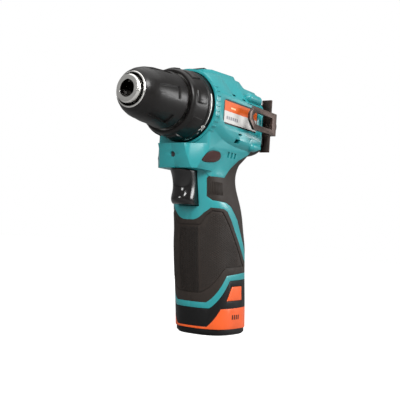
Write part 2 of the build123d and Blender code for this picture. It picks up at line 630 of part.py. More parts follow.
def carrier(x0, x1, pin_end):
    plate = tube(x0, x1, 12.6)
    for angle in PLANET_ANGLES:
        turn = math.radians(angle)
        y, z = CENTRES * math.cos(turn), AXIS_Z + CENTRES * math.sin(turn)
        plate += tube(x1 - 0.5, pin_end, PIN_R, y=y, z=z)
    return plate


for stage, (gear_x0, gear_x1) in STAGES.items():
    parts[f"ring_gear_{stage}"] = ring_gear(gear_x0 - 3.0, gear_x1 + 0.2)
    for number, angle in enumerate(PLANET_ANGLES, 1):
        parts[f"planet_{stage}_{number}"] = planet_gear(gear_x0 + 0.4, gear_x1 - 0.4, angle)

stage_2_x0, stage_2_x1 = STAGES[2]
stage_1_x0, stage_1_x1 = STAGES[1]
parts["carrier_2"] = carrier(stage_2_x0 - 3.2, stage_2_x0 - 0.2, stage_2_x1) - tube(-50, -40, SPINDLE_R)
parts["carrier_1"] = carrier(stage_1_x0 - 2.9, stage_1_x0 - 0.2, stage_1_x1)
parts["carrier_1"] += sun_gear(stage_2_x0 + 0.6, stage_1_x0 - 2.8)
parts["carrier_1"] -= tube(-34, -26, SHAFT_R + 0.4)
spindle = turned([(-82.0, 2.1), (-82.0, SPINDLE_R), (stage_2_x0 - 0.2, SPINDLE_R), (stage_2_x0 - 0.2, 2.1)])
parts["spindle"] = spindle
parts["spindle_bush"] = tube(-66.0, -52.0, NECK_R - 3.0, SPINDLE_R + RUN)

gearbox = turned([(-66.0, NECK_R - 3.0), (-66.0, NECK_R), (-50.0, NECK_R), (-50.0, GEARBOX_R), (-21.6, GEARBOX_R),
                  (-21.6, GEARBOX_R - GEARBOX_WALL), (-46.0, GEARBOX_R - GEARBOX_WALL), (-46.0, 7.0),
                  (-52.0, 7.0), (-52.0, NECK_R - 3.0)])
gearbox -= around(tube(-52, -45, 1.6, z=AXIS_Z + 16.2), CLUTCH_ANGLES)
parts["gearbox_case"] = gearbox
parts["motor_plate"] = tube(-21.6, MOTOR_FRONT_X, GEARBOX_R, 5.6)

# ---- motor ----------------------------------------------------------------------------------------------
can = tube(MOTOR_FRONT_X, MOTOR_REAR_X, MOTOR_R, MOTOR_R - 1.0)
can += tube(MOTOR_FRONT_X, MOTOR_FRONT_X + 1.2, MOTOR_R, 5.0)
parts["motor_can"] = can
parts["motor_end_plate"] = tube(MOTOR_REAR_X, MOTOR_REAR_X + 2.4, MOTOR_R, 5.0)
stator = tube(MOTOR_FRONT_X + 5, MOTOR_REAR_X - 4, MOTOR_R - 1.0, 9.6)
slot = tube(-40, 20, 2.1, z=AXIS_Z + 12.9) + box(-40, 20, -0.7, 0.7, AXIS_Z + 8, AXIS_Z + 12.9)
SLOT_ANGLES = [60 * step for step in range(6)]
parts["stator"] = stator - around(slot, SLOT_ANGLES)
coil = tube(MOTOR_FRONT_X + 3, MOTOR_REAR_X - 2.4, 2.0, z=AXIS_Z + 12.9)
parts["windings"] = around(coil, SLOT_ANGLES)
parts["rotor"] = tube(MOTOR_FRONT_X + 5, MOTOR_REAR_X - 4, 9.2, SHAFT_R)
parts["motor_shaft"] = tube(-30.6, 12.6, SHAFT_R)
parts["pinion"] = sun_gear(stage_1_x0 + 0.4, -20.0) - tube(-40, 0, SHAFT_R)
parts["motor_bearings"] = [tube(x, x + 2.4, 5.0, SHAFT_R + RUN) for x in (MOTOR_FRONT_X, MOTOR_REAR_X)]
fan = tube(8.0, 11.6, 4.0, SHAFT_R) + tube(10.8, 11.6, 17.0, SHAFT_R)
blade = front_prism([(-0.6, 3.6), (0.6, 3.6), (0.6, 17.0), (-0.6, 17.0)], 8.0, 11.2)
parts["fan"] = fan + around(blade, [40 * step for step in range(9)])

# ---- switch and terminals -------------------------------------------------------------------------------
SWITCH_FRONT_X = TRIGGER_REAR_X + TRIGGER_TRAVEL + 0.6
SWITCH_REAR_X = -8.0
STEM_Z = 101.0
STEM_R = 2.0
stem = tube(TRIGGER_REAR_X - 0.5, SWITCH_FRONT_X + 1.0, STEM_R, z=STEM_Z)
parts["trigger"] = trigger + stem
switch = box(SWITCH_FRONT_X, SWITCH_REAR_X, -9.0, 9.0, 93.3, 109.0)
switch -= tube(SWITCH_FRONT_X - 1, SWITCH_FRONT_X + TRIGGER_TRAVEL + 2, STEM_R + RUN, z=STEM_Z)
parts["switch_body"] = switch
parts["terminal_block"] = box(-26.0, -2.0, -8.0, 8.0, 86.4, 93.0)

# ---- battery ----------------------------------------------------------------------------------------------
rake_angle = -math.degrees(math.atan(RAKE))
rake_frame = Pos(-0.6, 0, 0) * Rot(0, rake_angle, 0)


def stick(half_x, half_y, bottom, top):
    """A bar with a rounded-square section along the raked handle axis."""
    points = []
    for step in range(SECTION_POINTS):
        angle = 2 * math.pi * step / SECTION_POINTS
        radius = squarish(angle, half_x, half_y, HANDLE_POWER)
        points.append((radius * math.cos(angle), radius * math.sin(angle), bottom))
    return rake_frame * extrude(closed_curve(points), amount=top - bottom, dir=(0, 0, 1))


CELL_PLACES = [(-CELL_R - 0.05, 7.95), (CELL_R + 0.05, 7.95), (0, -7.95)]
above_foot = box(-BIG, BIG, -BIG, BIG, FOOT_HEIGHT, BIG)
cell_well = Cylinder(CELL_R + 0.1, 2 * (CELL_FLOOR + CELL_LENGTH + 0.6))
lower_form = outer_handle & below_gap & above_foot
wells = rake_frame * Pos(CELL_PLACES[0][0], CELL_PLACES[0][1], 0) * cell_well
for x, y in CELL_PLACES[1:]:
    wells += rake_frame * Pos(x, y, 0) * cell_well
case = lower_form - wells
cell_sleeve = stick(STICK_HALF_X, STICK_HALF_Y, 8, STICK_TOP) - below_gap - wells
ORANGE_TOP = [(-60, 5.4), (-23.8, 6.0), (-18.2, 18.3), (60, 20.6)]
orange_zone = side_prism(ORANGE_TOP + [(60, -5), (-60, -5)])
band = (outer_handle - handle(SKIN)) & orange_zone & above_foot & below_gap
case -= band
BUTTON = [(-9.0, 33.4), (3.6, 33.8), (4.6, 24.2), (-13.6, 23.8)]
BUTTON_DEPTH = 1.9
BUTTON_PROUD = 0.4
button_face = make_face(Polyline(*[(x, -BIG, z) for x, z in BUTTON], close=True))
button_prism = extrude(button_face, amount=BIG, dir=(0, 1, 0))
pocket_prism = extrude(offset(button_face, 0.25), amount=BIG, dir=(0, 1, 0))
button = (handle(-BUTTON_PROUD) - handle(BUTTON_DEPTH)) & button_prism
pocket = pocket_prism - handle(BUTTON_DEPTH + BUTTON_TRAVEL + PART_GAP)
case -= pocket + mirrored(pocket)
parts["latch_button_left"] = button
parts["latch_button_right"] = mirrored(button)
parts["battery_case"] = [case, cell_sleeve]
parts["battery_band"] = band
foot = handle(0.7) & box(-BIG, BIG, -BIG, BIG, 0, FOOT_HEIGHT)
foot = chamfer(foot.faces().sort_by(Axis.Z)[0].edges(), 1.6)
for step in range(5):
    rib_x = 10.0 + 2.6 * step
    foot -= box(rib_x, rib_x + 1.2, -BIG, BIG, -1, 0.8)
parts["battery_foot"] = foot
cells = []
for x, y in CELL_PLACES:
    middle = CELL_FLOOR + CELL_LENGTH / 2
    cells.append(rake_frame * Pos(x, y, middle) * Cylinder(CELL_R, CELL_LENGTH))
parts["battery_cells"] = cells
parts["battery_contacts"] = rake_frame * box(-7, 7, -5, 5, STICK_TOP, STICK_TOP + 2.0)

# ---- write each piece -------------------------------------------------------------------------------------
os.makedirs("parts", exist_ok=True)
for name, shape in parts.items():
    if isinstance(shape, list):
        shape = Compound(children=shape)
    export_step(shape, f"parts/{name}.step")
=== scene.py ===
import math
import json

import bpy
import bmesh
from mathutils import Matrix, Vector
from bpy.props import FloatProperty, FloatVectorProperty, PointerProperty
from mathutils.bvhtree import BVHTree


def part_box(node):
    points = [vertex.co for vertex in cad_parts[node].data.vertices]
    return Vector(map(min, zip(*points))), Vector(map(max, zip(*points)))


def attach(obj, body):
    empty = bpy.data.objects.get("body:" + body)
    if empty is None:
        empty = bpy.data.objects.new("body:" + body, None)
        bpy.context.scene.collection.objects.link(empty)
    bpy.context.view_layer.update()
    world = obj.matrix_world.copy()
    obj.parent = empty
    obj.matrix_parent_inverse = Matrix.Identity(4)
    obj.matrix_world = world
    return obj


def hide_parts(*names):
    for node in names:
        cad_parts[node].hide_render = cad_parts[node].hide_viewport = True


bl_info = {
    "name": "Cordless drill",
    "version": (1, 0, 0),
    "blender": (4, 5, 0),
    "location": "View3D > Sidebar > Drill",
    "description": "Finishes, grip textures, plain printed marks and a studio for a small cordless drill",
    "category": "Object",
}

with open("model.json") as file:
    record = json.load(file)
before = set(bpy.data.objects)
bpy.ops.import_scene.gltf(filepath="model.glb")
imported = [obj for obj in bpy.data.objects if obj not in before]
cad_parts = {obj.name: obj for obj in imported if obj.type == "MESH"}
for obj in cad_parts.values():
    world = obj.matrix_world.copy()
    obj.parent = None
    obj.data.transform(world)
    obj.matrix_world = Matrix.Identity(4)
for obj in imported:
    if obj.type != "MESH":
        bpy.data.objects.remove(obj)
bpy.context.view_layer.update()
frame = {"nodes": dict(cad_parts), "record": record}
NODES = frame["nodes"]

MM = 0.001
CHUCK_BORE_R = 5.2 * MM
FILM = 0.05 * MM
PRINT_LIFT = 0.04 * MM
SCALE_X = -0.0527
ARC_X = -0.0529
NUMBER_X = -0.0531
NUMBER_HEIGHT = 4.9 * MM
RING_R = 0.0232
COLLAR_RIB_X = -0.0474
THUMB_PAD_X = -0.0355
THUMB_PAD_Z = 0.0992
GRIP_LOW = 0.028
GRIP_HIGH = 0.0825
SIGN_X = -0.0060
SIGN_Z = 0.0125
SIGN_PITCH = 2.5 * MM
OUTSIDE = 0.06
LAMP_AIM = (-0.03, 0, 0.1)
FLOOR_HALF = 3.0
AXIS_Z = (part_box("torque_ring")[0].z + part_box("torque_ring")[1].z) / 2


# ---- settings a user would change -----------------------------------------------------------------
def colour(name, default, description):
    """A colour setting with its default."""
    return FloatVectorProperty(name=name, description=description, subtype="COLOR", size=3, min=0, max=1,
                               default=default)


def length(name, default, description):
    """A length setting in metres."""
    return FloatProperty(name=name, description=description, default=default, unit="LENGTH", precision=5)


class DrillColours(bpy.types.PropertyGroup):
    """Colours of the drill's finishes."""
    shell: colour("Shell", (0.013, 0.235, 0.250), "Moulded teal shell")
    grip: colour("Grip", (0.021, 0.0155, 0.0125), "Soft over-moulded grip")
    black: colour("Black", (0.0040, 0.0040, 0.0042), "Black moulded plastic")
    chuck: colour("Chuck", (0.0055, 0.0047, 0.0044), "Chuck sleeve and torque ring")
    orange: colour("Orange", (0.72, 0.092, 0.010), "Battery band and release buttons")
    hook: colour("Hook", (0.060, 0.042, 0.036), "Belt hook steel")
    selector: colour("Selector", (0.040, 0.008, 0.006), "Direction selector")
    print_white: colour("Print", (0.80, 0.79, 0.76), "Printed marks")


class GripSizes(bpy.types.PropertyGroup):
    """Sizes of the grip's moulded texture."""
    pitch: length("Dimple pitch", 1.35 * MM, "Height of one honeycomb cell on the front of the grip")
    dimple: length("Dimple depth", 0.32 * MM, "Height of the rim round one honeycomb cell")
    stud_pitch: length("Stud pitch", 1.6 * MM, "Distance between the fine studs on the sides")
    rib_pitch: length("Rib pitch", 1.15 * MM, "Distance between the thumb pad's ribs")


class StudioSizes(bpy.types.PropertyGroup):
    """The camera and the lights."""
    lens: FloatProperty(name="Lens", description="Focal length", default=65.29, unit="CAMERA")
    distance: length("Distance", 0.49931, "Camera to the point it looks at")
    yaw: FloatProperty(name="Yaw", description="Turn about the vertical", default=math.radians(-56.15),
                       subtype="ANGLE")
    pitch: FloatProperty(name="Pitch", description="Height above the horizon", default=math.radians(-2.98),
                         subtype="ANGLE")
    roll: FloatProperty(name="Roll", description="Turn about the line of sight", default=math.radians(3.84),
                        subtype="ANGLE")
    aim_x: length("Aim X", -0.02416, "Where the camera looks, along the spindle")
    aim_z: length("Aim Z", 0.0915, "Where the camera looks, above the base")
    room: FloatProperty(name="Room light", description="Brightness of the white room", default=0.34, min=0)
    lamps: FloatProperty(name="Lamps", description="Share of the soft lamps' full power", default=0.86, min=0)


# ---- node helpers ---------------------------------------------------------------------------------
# The mix node keeps one socket for each kind of data; these are its colour sockets.
MIX_FACTOR, MIX_FIRST, MIX_SECOND, MIX_RESULT = 0, 6, 7, 2


class Shader:
    """A small helper that adds nodes to one material and joins them."""

    def __init__(self, name):
        self.material = bpy.data.materials.new(name)
        self.material.use_nodes = True
        self.tree = self.material.node_tree
        self.tree.nodes.clear()
        self.out = self.add("ShaderNodeOutputMaterial")
        self.surface = self.add("ShaderNodeBsdfPrincipled")
        self.link(self.surface, "BSDF", self.out, "Surface")
        self.coords = self.add("ShaderNodeTexCoord")

    def add(self, kind, **values):
        node = self.tree.nodes.new(kind)
        for key, value in values.items():
            setattr(node, key, value)
        return node

    def link(self, source, output, target, socket):
        self.tree.links.new(source.outputs[output], target.inputs[socket])

    def set(self, **values):
        for key, value in values.items():
            self.surface.inputs[key.replace("_", " ")].default_value = value

    def noise(self, scale, detail=3.0, stretch=(1, 1, 1)):
        """Noise on object coordinates, with cells of about 1/scale metres."""
        mapping = self.add("ShaderNodeMapping")
        mapping.inputs["Scale"].default_value = stretch
        self.link(self.coords, "Object", mapping, "Vector")
        noise = self.add("ShaderNodeTexNoise")
        noise.inputs["Scale"].default_value = scale
        noise.inputs["Detail"].default_value = detail
        self.link(mapping, "Vector", noise, "Vector")
        return noise

    def ramp(self, source, output, low, high, from_value, to_value):
        """A value mapped from the range low..high to from_value..to_value."""
        node = self.add("ShaderNodeMapRange")
        node.inputs["From Min"].default_value = low
        node.inputs["From Max"].default_value = high
        node.inputs["To Min"].default_value = from_value
        node.inputs["To Max"].default_value = to_value
        self.link(source, output, node, "Value")
        return node

    def math(self, operation, first, second=None):
        """A math node on sockets or plain numbers."""
        node = self.add("ShaderNodeMath", operation=operation)
        for index, value in enumerate((first, second)):
            if value is None:
                continue
            if isinstance(value, (int, float)):
                node.inputs[index].default_value = value
            else:
                self.tree.links.new(value, node.inputs[index])
        return node.outputs[0]

    def bump(self, height, distance, strength):
        node = self.add("ShaderNodeBump")
        node.inputs["Strength"].default_value = strength
        node.inputs["Distance"].default_value = distance
        self.tree.links.new(height, node.inputs["Height"])
        return node

    def mottled(self, base, amount, scale):
        """A base colour with slow light and dark patches."""
        noise = self.noise(scale)
        dark = tuple(channel * (1 - amount) for channel in base)
        light = tuple(min(1, channel * (1 + amount)) for channel in base)
        return self.mix(dark, light, noise.outputs["Fac"])

    def mix(self, first, second, factor):
        """A colour between two colours or colour sockets."""
        node = self.add("ShaderNodeMix", data_type="RGBA")
        for index, value in ((MIX_FIRST, first), (MIX_SECOND, second)):
            if isinstance(value, tuple):
                node.inputs[index].default_value = (*value, 1)
            else:
                self.tree.links.new(value, node.inputs[index])
        self.tree.links.new(factor, node.inputs[MIX_FACTOR])
        return node.outputs[MIX_RESULT]

    def colour(self, socket):
        self.tree.links.new(socket, self.surface.inputs["Base Color"])


def plastic(name, base, rough, grain, grain_depth, coat=0.0, worn=0.10, shine=0.5):
    """Moulded plastic with a fine spark-eroded grain and slight shade variation."""
    shader = Shader(name)
    shader.colour(shader.mottled(base, worn, 60))
    smudge = shader.ramp(shader.noise(45, 4), "Fac", 0.3, 0.7, rough - 0.05, rough + 0.08)
    shader.link(smudge, "Result", shader.surface, "Roughness")
    fine = shader.noise(grain, 2)
    bump = shader.bump(fine.outputs["Fac"], grain_depth, 0.6)
    shader.link(bump, "Normal", shader.surface, "Normal")
    shader.set(IOR=1.5, Specular_IOR_Level=shine, Coat_Weight=coat, Coat_Roughness=0.12)
    return shader.material


def metal(name, base, rough, stretch=(1, 1, 1), brushed=0.00002, scratch_scale=900, metallic=1.0):
    """Metal with fine directional marks and uneven polish."""
    shader = Shader(name)
    shader.colour(shader.mottled(base, 0.14, 140))
    uneven = shader.ramp(shader.noise(220, 4), "Fac", 0.25, 0.75, rough * 0.75, rough * 1.35)
    shader.link(uneven, "Result", shader.surface, "Roughness")
    marks = shader.noise(scratch_scale, 2, stretch)
    bump = shader.bump(marks.outputs["Fac"], brushed, 0.7)
    shader.link(bump, "Normal", shader.surface, "Normal")
    shader.set(Metallic=metallic)
    return shader.material


def steel_with_painted_bore_shade(name, base, rough, bore):
    """Turned steel with painted shade inside its bore: the colour goes near black within the bore's radius,
    standing in for the shadow deep in the nose.
    """
    shader = Shader(name)
    split = shader.add("ShaderNodeSeparateXYZ")
    shader.link(shader.coords, "Object", split, "Vector")
    up = shader.math("SUBTRACT", split.outputs["Z"], AXIS_Z)
    reach = shader.math("ADD", shader.math("MULTIPLY", split.outputs["Y"], split.outputs["Y"]),
                        shader.math("MULTIPLY", up, up))
    inside = shader.math("LESS_THAN", reach, (bore + 0.15 * MM) ** 2)
    # painted shade: near black inside the bore, in place of the shadow that falls there
    shader.colour(shader.mix(shader.mottled(base, 0.10, 140), (0.012, 0.011, 0.010), inside))
    uneven = shader.ramp(shader.noise(220, 4), "Fac", 0.25, 0.75, rough * 0.7, rough * 1.5)
    shader.link(uneven, "Result", shader.surface, "Roughness")
    rings = shader.noise(2600, 2, (1, 0.12, 0.12))
    bump = shader.bump(rings.outputs["Fac"], 0.000008, 0.6)
    shader.link(bump, "Normal", shader.surface, "Normal")
    shader.set(Metallic=1.0)
    return shader.material


def rubber(name, base):
    """Soft over-moulding: matt, a little lighter where it is rubbed."""
    shader = Shader(name)
    shader.colour(shader.mottled(base, 0.22, 70))
    uneven = shader.ramp(shader.noise(90, 3), "Fac", 0.3, 0.7, 0.50, 0.66)
    shader.link(uneven, "Result", shader.surface, "Roughness")
    fine = shader.noise(5200, 2)
    bump = shader.bump(fine.outputs["Fac"], 0.00004, 0.8)
    shader.link(bump, "Normal", shader.surface, "Normal")
    shader.set(Specular_IOR_Level=0.22, Sheen_Weight=0.02, Sheen_Roughness=0.5)
    return shader.material


def label_print(name, low, high, orange, white):
    """A two-tone plate: dark border, warm upper half, pale lower half with plain grey bars."""
    shader = Shader(name)
    split = shader.add("ShaderNodeSeparateXYZ")
    shader.link(shader.coords, "Object", split, "Vector")
    x, z = split.outputs["X"], split.outputs["Z"]
    border = 1.1 * MM
    middle = low.z + (high.z - low.z) * 0.53

    def above(value, limit):
        return shader.math("GREATER_THAN", value, limit)

    def below(value, limit):
        return shader.math("LESS_THAN", value, limit)

    def both(first, second):
        return shader.math("MULTIPLY", first, second)

    inside = both(both(above(x, low.x + border), below(x, high.x - border)),
                  both(above(z, low.z + border), below(z, high.z - border)))
    upper = above(z, middle)
    # plain bars where a maker would print words
    bars = both(both(above(x, low.x + 4 * MM), below(x, low.x + 19 * MM)),
                both(above(z, low.z + 3.4 * MM), below(z, low.z + 5.6 * MM)))
    share = shader.math("FRACT", shader.math("MULTIPLY", x, 1 / (2.6 * MM)))
    bars = both(bars, above(share, 0.28))
    dots = both(both(above(x, low.x + 9 * MM), below(x, low.x + 15 * MM)),
                both(above(z, middle + 2.2 * MM), below(z, middle + 3.2 * MM)))

    pale = shader.mix(white, (0.22, 0.22, 0.24), bars)
    warm = shader.mix(orange, (0.90, 0.55, 0.30), dots)
    shader.colour(shader.mix((0.02, 0.02, 0.02), shader.mix(pale, warm, upper), inside))
    fine = shader.noise(3000, 2)
    bump = shader.bump(fine.outputs["Fac"], 0.00001, 0.5)
    shader.link(bump, "Normal", shader.surface, "Normal")
    shader.set(Roughness=0.22, Coat_Weight=0.5, Coat_Roughness=0.08)
    return shader.material


def clear_plastic(name):
    shader = Shader(name)
    fine = shader.noise(1500, 2)
    bump = shader.bump(fine.outputs["Fac"], 0.00001, 0.3)
    shader.link(bump, "Normal", shader.surface, "Normal")
    shader.set(Base_Color=(0.03, 0.032, 0.036, 1), Roughness=0.05, Transmission_Weight=0.4, IOR=1.49)
    return shader.material


MATERIALS = {}


def make_materials():
    """Every finish on the drill, made once and kept by name."""
    tint = bpy.context.scene.drill_colours
    low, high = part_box("label_plates")
    MATERIALS.update({
        "shell": plastic("teal_shell", tint.shell, 0.34, 3800, 0.000035, coat=0.12, worn=0.06),
        "soft": rubber("soft_grip", tint.grip),
        "black": plastic("black_moulding", tint.black, 0.42, 3200, 0.00004, shine=0.22),
        "chuck_black": plastic("chuck_sleeve", tint.chuck, 0.34, 4200, 0.00003, coat=0.04, shine=0.28),
        "trigger_black": plastic("trigger_gloss", (0.004, 0.0035, 0.0035), 0.16, 900, 0.0000002, coat=0.35,
                                 shine=0.3),
        "selector_red": plastic("selector", tint.selector, 0.24, 1500, 0.00001, coat=0.2, shine=0.3),
        "orange": plastic("battery_orange", tint.orange, 0.36, 3800, 0.00003, coat=0.1, worn=0.05),
        "steel": metal("turned_steel", (0.55, 0.54, 0.52), 0.30, stretch=(1, 0.12, 0.12)),
        "bright": steel_with_painted_bore_shade("bright_nose", (0.76, 0.75, 0.72), 0.20, CHUCK_BORE_R),
        "hook_steel": metal("hook_steel", tint.hook, 0.34, stretch=(0.1, 1, 1), metallic=0.85),
        "screw": metal("screw_steel", (0.26, 0.25, 0.25), 0.34),
        # painted shade: the jaws are coloured near black for the shadow deep inside the chuck's bore
        "jaw_steel": metal("jaws_in_painted_shade", (0.030, 0.028, 0.026), 0.45),
        "lens": clear_plastic("lamp_lens"),
        "label": label_print("label_print", low, high, (0.62, 0.105, 0.018), (0.56, 0.55, 0.53)),
        "gear_steel": metal("sintered_steel", (0.38, 0.37, 0.35), 0.42, scratch_scale=2400),
        "casing": plastic("glass_filled_nylon", (0.035, 0.036, 0.040), 0.5, 1800, 0.00006),
        "can": metal("zinc_can", (0.42, 0.43, 0.44), 0.38),
        "copper": metal("enamelled_copper", (0.62, 0.22, 0.08), 0.28, stretch=(0.1, 1, 1), scratch_scale=1600,
                        brushed=0.0001),
        "lamination": metal("laminations", (0.24, 0.24, 0.25), 0.45, stretch=(8, 0.1, 0.1), brushed=0.0001),
        "cell": plastic("cell_wrap", (0.06, 0.20, 0.46), 0.25, 900, 0.00001, coat=0.3),
        "contact": metal("plated_contact", (0.78, 0.60, 0.28), 0.24),
        "print": plastic("print_white", tint.print_white, 0.5, 2500, 0.00001),
        # painted shade: near-black pads laid in the grip's cells and beside its studs, where shade falls
        "dark": plastic("painted_recess_shade", (0.004, 0.004, 0.004), 0.7, 2500, 0.00002),
    })


# ---- mesh helpers ---------------------------------------------------------------------------------
def slot_of(node):
    for entry in frame["record"]["subparts"]:
        if entry["node"] == node:
            return entry["material_slot"]
    raise ValueError(f"no slot for {node}")


def body_of(node):
    for body, members in frame["record"]["behaviour"]["bodies"].items():
        if node in members:
            return body
    raise ValueError(f"no body for {node}")


def add_piece(name, mesh, body, slot, material=None):
    """Puts a finished mesh in the scene, gives it its finish and its body."""
    piece = bpy.data.objects.new(name, mesh)
    bpy.context.scene.collection.objects.link(piece)
    mesh.materials.clear()
    mesh.materials.append(MATERIALS[material or slot])
    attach(piece, body)
    return piece


def applied(piece):
    """A plain mesh of the object with its modifiers worked in."""
    graph = bpy.context.evaluated_depsgraph_get()
    return bpy.data.meshes.new_from_object(piece.evaluated_get(graph), depsgraph=graph)


def joined(shape):
    """Writes a bmesh to a mesh with merged points and outward faces."""
    bmesh.ops.remove_doubles(shape, verts=shape.verts, dist=1e-6)
    bmesh.ops.recalc_face_normals(shape, faces=shape.faces)
    mesh = bpy.data.meshes.new("piece")
    shape.to_mesh(mesh)
    shape.free()
    return mesh


SMOOTH_ANGLE = math.radians(28)


def smooth(mesh, angle=SMOOTH_ANGLE):
    mesh.polygons.foreach_set("use_smooth", [True] * len(mesh.polygons))
    mesh.set_sharp_from_angle(angle=angle)


def refine(node, edge=0.0):
    """A merged, smooth-shaded copy of a CAD piece with its sharp edges eased by edge metres."""
    copy = NODES[node].data.copy()
    shape = bmesh.new()
    shape.from_mesh(copy)
    bmesh.ops.remove_doubles(shape, verts=shape.verts, dist=2e-6)
    bmesh.ops.dissolve_degenerate(shape, edges=shape.edges, dist=1e-6)
    bmesh.ops.dissolve_limit(shape, verts=shape.verts, edges=shape.edges, angle_limit=math.radians(0.4))
    mesh = bpy.data.meshes.new(f"{node}_finish")
    shape.to_mesh(mesh)
    shape.free()
    piece = bpy.data.objects.new(f"{node}_finish", mesh)
    bpy.context.scene.collection.objects.link(piece)
    if edge > 0:
        bevel = piece.modifiers.new("Eased edges", "BEVEL")
        bevel.width = edge
        bevel.segments = 2
        bevel.limit_method = "ANGLE"
        bevel.angle_limit = math.radians(40)
        finished = applied(piece)
        piece.modifiers.clear()
        piece.data = finished
    smooth(piece.data)
    slot = slot_of(node)
    piece.data.materials.clear()
    piece.data.materials.append(MATERIALS[slot])
    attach(piece, body_of(node))
    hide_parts(node)
    return piece


# ---- geometry node trees ----------------------------------------------------------------------------
def copies_tree(name, instance, material):
    """A tree that puts one small mesh at every point of a cloud and turns it to the stored directions."""
    tree = bpy.data.node_groups.new(name, "GeometryNodeTree")
    tree.interface.new_socket("Geometry", in_out="INPUT", socket_type="NodeSocketGeometry")
    tree.interface.new_socket("Geometry", in_out="OUTPUT", socket_type="NodeSocketGeometry")
    nodes = tree.nodes
    start = nodes.new("NodeGroupInput")
    end = nodes.new("NodeGroupOutput")
    source = nodes.new("GeometryNodeObjectInfo")
    source.inputs["Object"].default_value = instance
    outward = nodes.new("GeometryNodeInputNamedAttribute")
    outward.data_type = "FLOAT_VECTOR"
    outward.inputs["Name"].default_value = "outward"
    along = nodes.new("GeometryNodeInputNamedAttribute")
    along.data_type = "FLOAT_VECTOR"
    along.inputs["Name"].default_value = "along"
    face_out = nodes.new("FunctionNodeAlignRotationToVector")
    face_out.axis = "Z"
    face_along = nodes.new("FunctionNodeAlignRotationToVector")
    face_along.axis = "X"
    face_along.pivot_axis = "Z"
    place = nodes.new("GeometryNodeInstanceOnPoints")
    real = nodes.new("GeometryNodeRealizeInstances")
    paint = nodes.new("GeometryNodeSetMaterial")
    paint.inputs["Material"].default_value = material
    links = tree.links
    links.new(start.outputs["Geometry"], place.inputs["Points"])
    links.new(source.outputs["Geometry"], place.inputs["Instance"])
    links.new(outward.outputs["Attribute"], face_out.inputs["Vector"])
    links.new(face_out.outputs["Rotation"], face_along.inputs["Rotation"])
    links.new(along.outputs["Attribute"], face_along.inputs["Vector"])
    links.new(face_along.outputs["Rotation"], place.inputs["Rotation"])
    links.new(place.outputs["Instances"], real.inputs["Geometry"])
    links.new(real.outputs["Geometry"], paint.inputs["Geometry"])
    links.new(paint.outputs["Geometry"], end.inputs["Geometry"])
    return tree


def scatter(name, places, stamp, body, slot, material=None):
    """Copies of a stamp mesh at (point, outward, along) places, made by a geometry node tree."""
    cloud = bpy.data.meshes.new(f"{name}_points")
    cloud.from_pydata([place[0] for place in places], [], [])
    for index, key in ((1, "outward"), (2, "along")):
        layer = cloud.attributes.new(key, "FLOAT_VECTOR", "POINT")
        for number, place in enumerate(places):
            layer.data[number].vector = place[index]
    stamp_object = bpy.data.objects.new(f"{name}_stamp", stamp)
    holder = bpy.data.objects.new(f"{name}_cloud", cloud)
    for item in (stamp_object, holder):
        bpy.context.scene.collection.objects.link(item)
    modifier = holder.modifiers.new("Copies", "NODES")
    modifier.node_group = copies_tree(f"{name}_copies", stamp_object, MATERIALS[material or slot])
    mesh = applied(holder)
    bpy.data.objects.remove(holder)
    bpy.data.objects.remove(stamp_object)
    smooth(mesh, math.radians(40))
    return add_piece(name, mesh, body, slot, material)


def surface_point(piece_tree, origin, direction):
    """Where a ray from outside first meets a piece: the point and its outward normal."""
    point, normal, _, _ = piece_tree.ray_cast(origin, direction)
    return point, normal


def stud(length_x, length_y, height, taper=0.55, sides=4, turn=0.0):
    """A low pad with sloping sides, its foot a little under the surface."""
    shape = bmesh.new()
    rings = ((1.0, -0.35 * height), (1.0, 0.35 * height), (taper, height))
    loops = []
    for scale, z in rings:
        loop = []
        for step in range(sides):
            angle = turn + 2 * math.pi * step / sides
            x, y = length_x * scale * math.cos(angle), length_y * scale * math.sin(angle)
            loop.append(shape.verts.new((x, y, z)))
        loops.append(loop)
    for lower, upper in zip(loops, loops[1:]):
        for step in range(sides):
            nxt = (step + 1) % sides
            shape.faces.new((lower[step], lower[nxt], upper[nxt], upper[step]))
    shape.faces.new(loops[-1])
    shape.faces.new(list(reversed(loops[0])))
    return joined(shape)


def hex_rim(outer, inner, height):
    """A raised hexagonal rim, its foot a little under the surface."""
    shape = bmesh.new()
    loops = []
    foot = -0.3 * height
    corners = [step * math.pi / 3 for step in range(6)]
    for radius, z in ((outer, foot), (outer * 0.92, height), (inner * 1.1, height), (inner, foot)):
        loops.append([shape.verts.new((radius * math.cos(turn), radius * math.sin(turn), z))
                      for turn in corners])
    for lower, upper in zip(loops, loops[1:] + loops[:1]):
        for step in range(6):
            nxt = (step + 1) % 6
            shape.faces.new((lower[step], lower[nxt], upper[nxt], upper[step]))
    return joined(shape)


# The field of fine studs inside the grip's groove, as (x, z) in metres. The rays that find the grip
# start round the handle's leaning middle line, and REACH is the radius that spaces the columns.
GRIP_FIELD = [(-0.046, 0.0720), (-0.0340, 0.0732), (-0.0318, 0.0828), (-0.0252, 0.0826), (-0.0176, 0.0744),
              (-0.0032, 0.0556), (0.0016, 0.0494), (-0.0180, 0.0474), (-0.0210, 0.0446), (-0.0292, 0.0300),
              (-0.046, 0.0270)]
HANDLE_MIDDLE_X = -0.0006
HANDLE_RAKE = 0.15
HANDLE_REACH = 0.023


def in_outline(point, outline):
    """Whether a point lies inside an outline in the side view."""
    inside = False
    for (x0, z0), (x1, z1) in zip(outline, outline[1:] + outline[:1]):
        if (z0 > point.z) != (z1 > point.z) and point.x < x0 + (x1 - x0) * (point.z - z0) / (z1 - z0):
            inside = not inside
    return inside


def bvh(piece):
    shape = bmesh.new()
    shape.from_mesh(piece.data)
    tree = BVHTree.FromBMesh(shape)
    shape.free()
    return tree


# ---- operators ----------------------------------------------------------------------------------------
PIECES = {}

